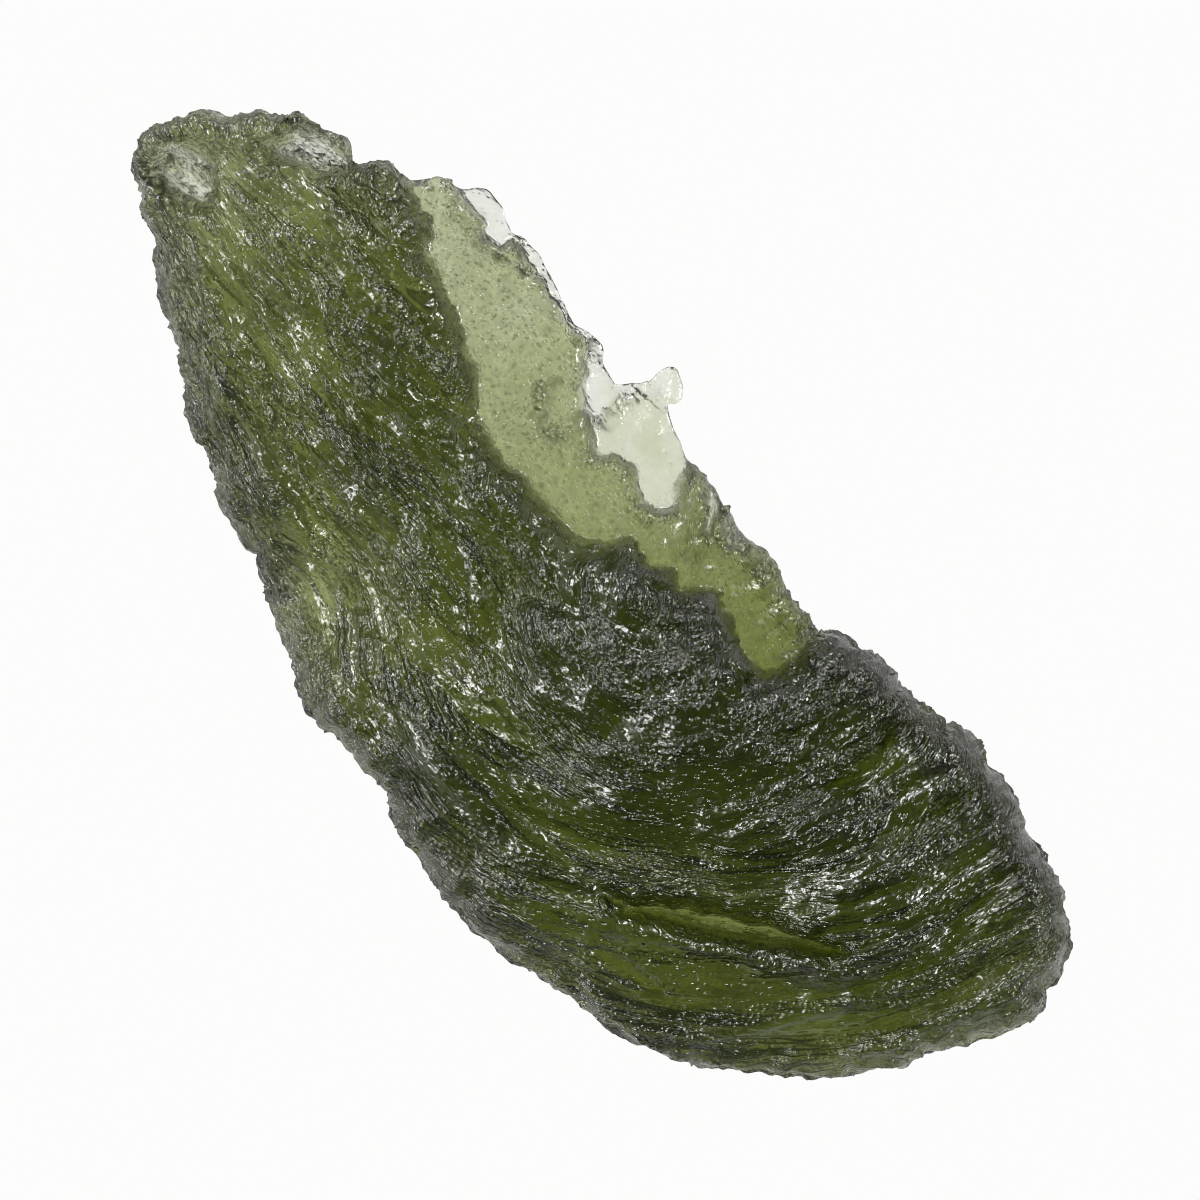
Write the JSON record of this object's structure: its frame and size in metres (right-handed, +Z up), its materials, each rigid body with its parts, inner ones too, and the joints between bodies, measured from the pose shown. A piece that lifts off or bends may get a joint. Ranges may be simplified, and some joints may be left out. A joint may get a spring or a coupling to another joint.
{
  "type": "moldavite",
  "caption": "Long curved shard of bottle-green natural glass with flow grooves, a cliff edge and a thin translucent flange; it rests on its convex face.",
  "frame": {"origin": "Middle of the stone's length and width, at the level of the flat spot it rests on.", "axes": "+X along the stone to its broad end, +Y towards the thin flange, +Z up through the grooved face."},
  "size_m": [0.045, 0.0196, 0.0089],
  "materials": {
    "moldavite_glass": "etched natural glass, bottle green, half matt outside and see-through where thin"
  },
  "bodies": {
    "root": {"moldavite": "moldavite_glass"}
  },
  "joints": []
}
